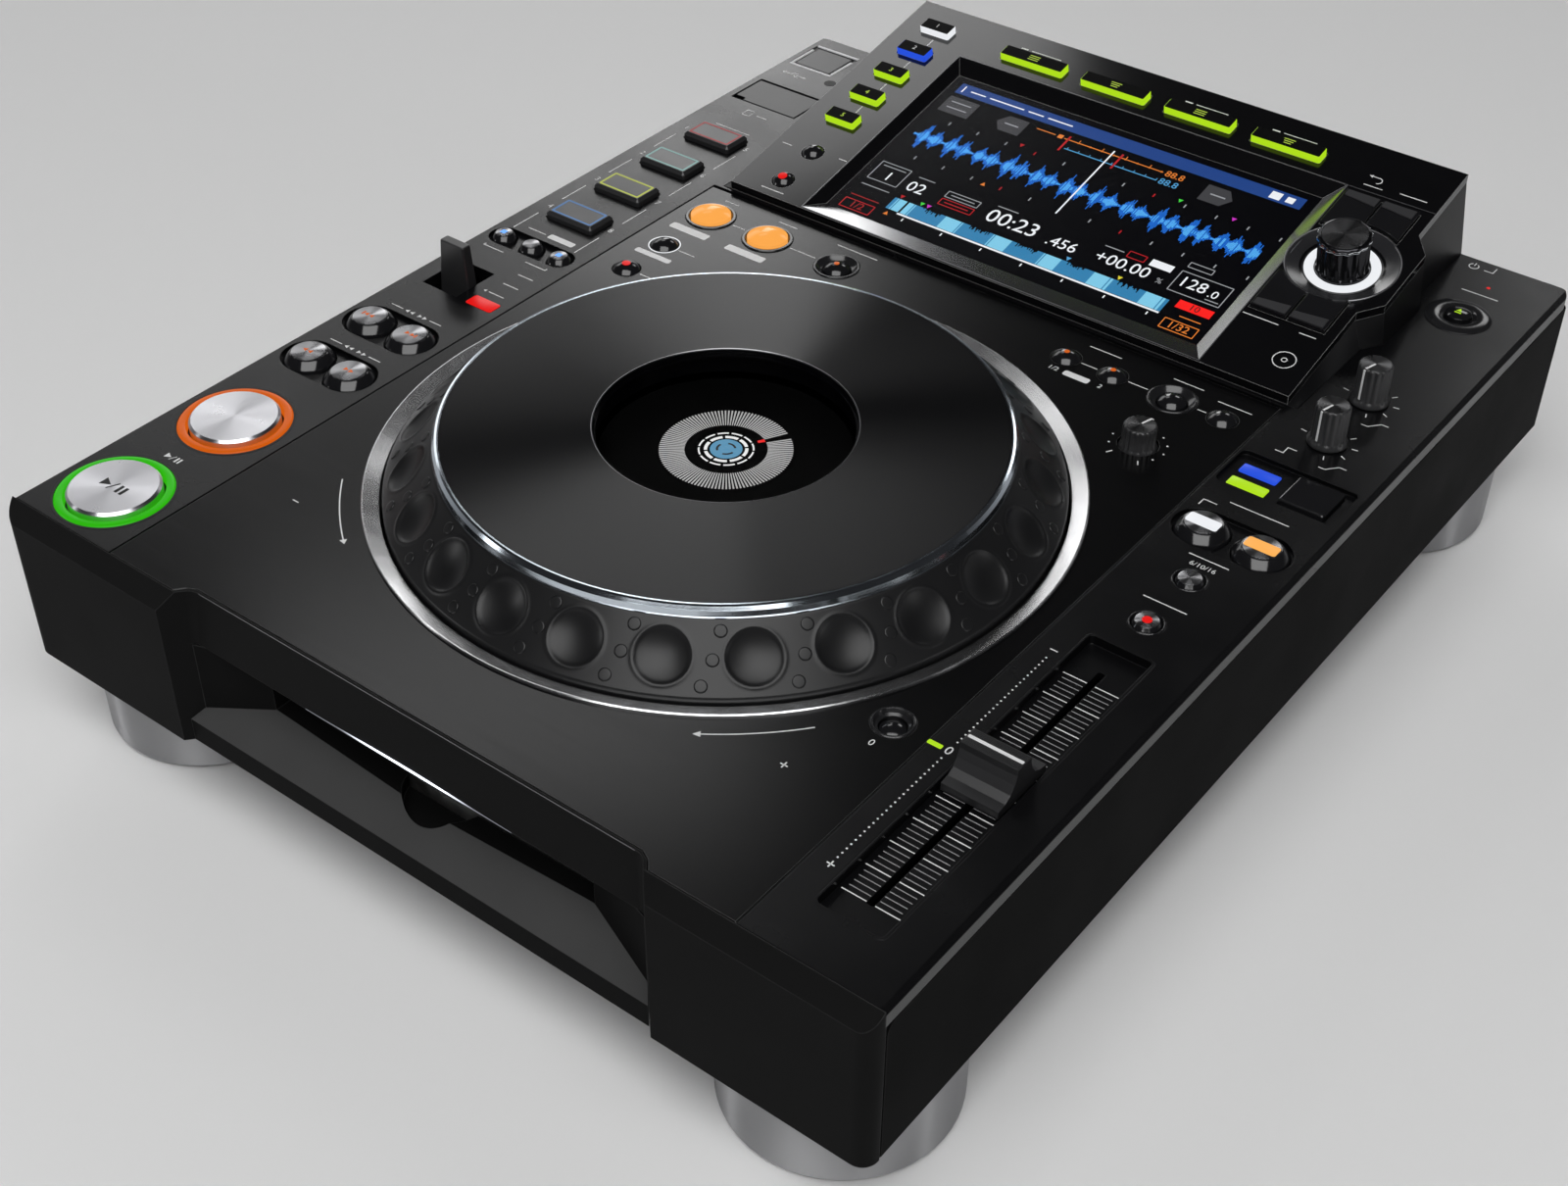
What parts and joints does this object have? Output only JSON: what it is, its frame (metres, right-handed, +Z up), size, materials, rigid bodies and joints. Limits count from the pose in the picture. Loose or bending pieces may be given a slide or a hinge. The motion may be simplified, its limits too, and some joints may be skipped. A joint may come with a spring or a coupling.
{
  "type": "tabletop DJ CD player",
  "caption": "Slot-in DJ disc player with a large dimpled jog wheel, tilted touch screen, lit transport buttons, hot-cue pads and a tempo fader, on round feet.",
  "frame": {"origin": "on the table, under the centre of the player's outline", "axes": "+X to the player's right, +Y to its rear panel, +Z up; the disc slot faces -Y"},
  "size_m": [0.32, 0.4054, 0.1149],
  "materials": {
    "black_steel": "satin black paint",
    "black_case": "fine-grained black moulding",
    "deck_metal": "dark brushed and anodised",
    "black_gloss": "polished black",
    "silver_plastic": "metallic silver paint",
    "chrome": "polished",
    "spun_metal": "spun face",
    "jog_black": "satin black with radial sheen",
    "rubber_black": "matt",
    "clear": "clear window",
    "screen": "lit colour screen",
    "lit_keys": "black top over a lit skirt",
    "board_green": "solder mask",
    "zinc": "zinc plated",
    "socket_black": "moulded"
  },
  "bodies": {
    "base": {"bottom_chassis": "black_steel", "side_plates": "black_steel", "top_case": "black_case", "deck_plate": "deck_metal", "front_panel": "black_gloss", "slot_lip": "black_gloss", "rear_panel": "black_steel", "rear_sockets": "socket_black", "feet": "silver_plastic", "media_slots": "socket_black", "jog_bezel_ring": "spun_metal", "jog_post": "black_case", "jog_display": "screen", "button_rings": "black_gloss", "fader_track": "black_case", "display_housing": "black_case", "display_panel": "black_gloss", "touch_screen": "screen", "circuit_boards": "board_green", "drive_chassis": "zinc", "screws": "zinc"},
    "jog": {"jog_flank": "black_gloss", "jog_trim_ring": "chrome", "jog_top_plate": "jog_black", "jog_window": "clear"},
    "tempo_fader": {"tempo_fader": "black_case"},
    "direction_lever": {"direction_lever": "black_case"},
    "sd_door": {"sd_door": "black_gloss"},
    "usb_door": {"usb_door": "black_gloss"},
    "rotary_selector": {"rotary_selector": "chrome"},
    "release_speed_knob": {"release_speed_knob": "black_case"},
    "start_speed_knob": {"start_speed_knob": "black_case"},
    "jog_adjust_knob": {"jog_adjust_knob": "black_case"},
    "play_button": {"play_button": "spun_metal"},
    "cue_button": {"cue_button": "spun_metal"},
    "hot_cue_a": {"hot_cue_a": "lit_keys"},
    "hot_cue_b": {"hot_cue_b": "lit_keys"},
    "hot_cue_c": {"hot_cue_c": "lit_keys"},
    "hot_cue_d": {"hot_cue_d": "lit_keys"},
    "search_buttons": {"search_buttons": "black_gloss"},
    "track_buttons": {"track_buttons": "black_gloss"},
    "bank_buttons": {"bank_buttons": "black_gloss"},
    "sync_buttons": {"sync_buttons": "black_gloss"},
    "jog_mode_button": {"jog_mode_button": "black_gloss"},
    "eject_button": {"eject_button": "black_gloss"},
    "loop_buttons": {"loop_buttons": "lit_keys"},
    "reloop_button": {"reloop_button": "black_gloss"},
    "delete_button": {"delete_button": "black_gloss"},
    "loop_cut_slip_buttons": {"loop_cut_slip_buttons": "black_gloss"},
    "call_buttons": {"call_buttons": "black_gloss"},
    "tempo_reset_button": {"tempo_reset_button": "black_gloss"},
    "tempo_buttons": {"tempo_buttons": "black_gloss"},
    "source_keys": {"source_keys": "lit_keys"},
    "menu_keys": {"menu_keys": "lit_keys"},
    "selector_keys": {"selector_keys": "black_gloss"},
    "panel_buttons": {"panel_buttons": "black_gloss"},
    "power_switch": {"power_switch": "socket_black"},
    "loading_roller": {"loading_roller": "rubber_black"},
    "disc_turntable": {"disc_turntable": "black_case"},
    "laser_sled": {"laser_sled": "socket_black"}
  },
  "joints": [
    {"name": "jog_spin", "type": "hinge", "parent": "base", "child": "jog", "pos_m": [0, -0.0577, 0.09], "axis": [0, 0, 1], "continuous": true},
    {"name": "tempo_slide", "type": "slide", "parent": "base", "child": "tempo_fader", "axis": [0, 1, 0], "range_m": [-0.05, 0.05]},
    {"name": "lever_tilt", "type": "hinge", "parent": "base", "child": "direction_lever", "pos_m": [-0.1434, -0.0259, 0.06], "axis": [1, 0, 0], "range_deg": [-11, 11]},
    {"name": "sd_door_hinge", "type": "hinge", "parent": "base", "child": "sd_door", "pos_m": [-0.14025, 0.1554, 0.08265], "axis": [-1, 0, 0], "range_deg": [0, 85]},
    {"name": "usb_door_hinge", "type": "hinge", "parent": "base", "child": "usb_door", "pos_m": [-0.1458, 0.1924, 0.08265], "axis": [-1, 0, 0], "range_deg": [0, 85]},
    {"name": "selector_turn", "type": "hinge", "parent": "base", "child": "rotary_selector", "pos_m": [0.10105, 0.14337, 0.10087], "axis": [0, -0.2113, 0.9774], "continuous": true},
    {"name": "release_speed_turn", "type": "hinge", "parent": "base", "child": "release_speed_knob", "pos_m": [0.1355, 0.099, 0.09], "axis": [0, 0, -1], "range_deg": [-150, 150]},
    {"name": "start_speed_turn", "type": "hinge", "parent": "base", "child": "start_speed_knob", "pos_m": [0.1355, 0.07, 0.09], "axis": [0, 0, -1], "range_deg": [-150, 150]},
    {"name": "jog_adjust_turn", "type": "hinge", "parent": "base", "child": "jog_adjust_knob", "pos_m": [0.09, 0.033, 0.09], "axis": [0, 0, -1], "range_deg": [-150, 150]},
    {"name": "play_press", "type": "slide", "parent": "base", "child": "play_button", "axis": [0, 0, -1], "range_m": [0, 0.0012], "stiffness_N_per_m": 500, "springref_m": -0.001},
    {"name": "cue_press", "type": "slide", "parent": "base", "child": "cue_button", "axis": [0, 0, -1], "range_m": [0, 0.0012], "stiffness_N_per_m": 500, "springref_m": -0.001},
    {"name": "hot_cue_a_press", "type": "slide", "parent": "base", "child": "hot_cue_a", "axis": [0, 0, -1], "range_m": [0, 0.0012], "stiffness_N_per_m": 500, "springref_m": -0.001},
    {"name": "hot_cue_b_press", "type": "slide", "parent": "base", "child": "hot_cue_b", "axis": [0, 0, -1], "range_m": [0, 0.0012], "stiffness_N_per_m": 500, "springref_m": -0.001},
    {"name": "hot_cue_c_press", "type": "slide", "parent": "base", "child": "hot_cue_c", "axis": [0, 0, -1], "range_m": [0, 0.0012], "stiffness_N_per_m": 500, "springref_m": -0.001},
    {"name": "hot_cue_d_press", "type": "slide", "parent": "base", "child": "hot_cue_d", "axis": [0, 0, -1], "range_m": [0, 0.0012], "stiffness_N_per_m": 500, "springref_m": -0.001},
    {"name": "search_press", "type": "slide", "parent": "base", "child": "search_buttons", "axis": [0, 0, -1], "range_m": [0, 0.0012], "stiffness_N_per_m": 500, "springref_m": -0.001},
    {"name": "track_press", "type": "slide", "parent": "base", "child": "track_buttons", "axis": [0, 0, -1], "range_m": [0, 0.0012], "stiffness_N_per_m": 500, "springref_m": -0.001},
    {"name": "bank_press", "type": "slide", "parent": "base", "child": "bank_buttons", "axis": [0, 0, -1], "range_m": [0, 0.0012], "stiffness_N_per_m": 500, "springref_m": -0.001},
    {"name": "sync_press", "type": "slide", "parent": "base", "child": "sync_buttons", "axis": [0, 0, -1], "range_m": [0, 0.0012], "stiffness_N_per_m": 500, "springref_m": -0.001},
    {"name": "jog_mode_press", "type": "slide", "parent": "base", "child": "jog_mode_button", "axis": [0, 0, -1], "range_m": [0, 0.0012], "stiffness_N_per_m": 500, "springref_m": -0.001},
    {"name": "eject_press", "type": "slide", "parent": "base", "child": "eject_button", "axis": [0, 0, -1], "range_m": [0, 0.0012], "stiffness_N_per_m": 500, "springref_m": -0.001},
    {"name": "loop_press", "type": "slide", "parent": "base", "child": "loop_buttons", "axis": [0, 0, -1], "range_m": [0, 0.0012], "stiffness_N_per_m": 500, "springref_m": -0.001},
    {"name": "reloop_press", "type": "slide", "parent": "base", "child": "reloop_button", "axis": [0, 0, -1], "range_m": [0, 0.0012], "stiffness_N_per_m": 500, "springref_m": -0.001},
    {"name": "delete_press", "type": "slide", "parent": "base", "child": "delete_button", "axis": [0, 0, -1], "range_m": [0, 0.0012], "stiffness_N_per_m": 500, "springref_m": -0.001},
    {"name": "loop_cut_slip_press", "type": "slide", "parent": "base", "child": "loop_cut_slip_buttons", "axis": [0, 0, -1], "range_m": [0, 0.0012], "stiffness_N_per_m": 500, "springref_m": -0.001},
    {"name": "call_press", "type": "slide", "parent": "base", "child": "call_buttons", "axis": [0, 0, -1], "range_m": [0, 0.0012], "stiffness_N_per_m": 500, "springref_m": -0.001},
    {"name": "tempo_reset_press", "type": "slide", "parent": "base", "child": "tempo_reset_button", "axis": [0, 0, -1], "range_m": [0, 0.0012], "stiffness_N_per_m": 500, "springref_m": -0.001},
    {"name": "tempo_press", "type": "slide", "parent": "base", "child": "tempo_buttons", "axis": [0, 0, -1], "range_m": [0, 0.0012], "stiffness_N_per_m": 500, "springref_m": -0.001},
    {"name": "source_key_press", "type": "slide", "parent": "base", "child": "source_keys", "axis": [0, 0.2113, -0.9774], "range_m": [0, 0.001], "stiffness_N_per_m": 500, "springref_m": -0.001},
    {"name": "menu_key_press", "type": "slide", "parent": "base", "child": "menu_keys", "axis": [0, 0.2113, -0.9774], "range_m": [0, 0.001], "stiffness_N_per_m": 500, "springref_m": -0.001},
    {"name": "selector_key_press", "type": "slide", "parent": "base", "child": "selector_keys", "axis": [0, 0.2113, -0.9774], "range_m": [0, 0.001], "stiffness_N_per_m": 500, "springref_m": -0.001},
    {"name": "panel_press", "type": "slide", "parent": "base", "child": "panel_buttons", "axis": [0, 0.2113, -0.9774], "range_m": [0, 0.001], "stiffness_N_per_m": 500, "springref_m": -0.001},
    {"name": "power_rocker", "type": "hinge", "parent": "base", "child": "power_switch", "pos_m": [-0.084, 0.1968, 0.055], "axis": [-1, 0, 0], "range_deg": [0, 16]},
    {"name": "roller_turn", "type": "hinge", "parent": "base", "child": "loading_roller", "pos_m": [0, -0.174, 0.0455], "axis": [1, 0, 0], "continuous": true},
    {"name": "turntable_spin", "type": "hinge", "parent": "base", "child": "disc_turntable", "pos_m": [0, -0.11, 0.045], "axis": [0, 0, 1], "continuous": true},
    {"name": "sled_slide", "type": "slide", "parent": "base", "child": "laser_sled", "axis": [1, 0, 0], "range_m": [-0.005, 0.02]}
  ]
}
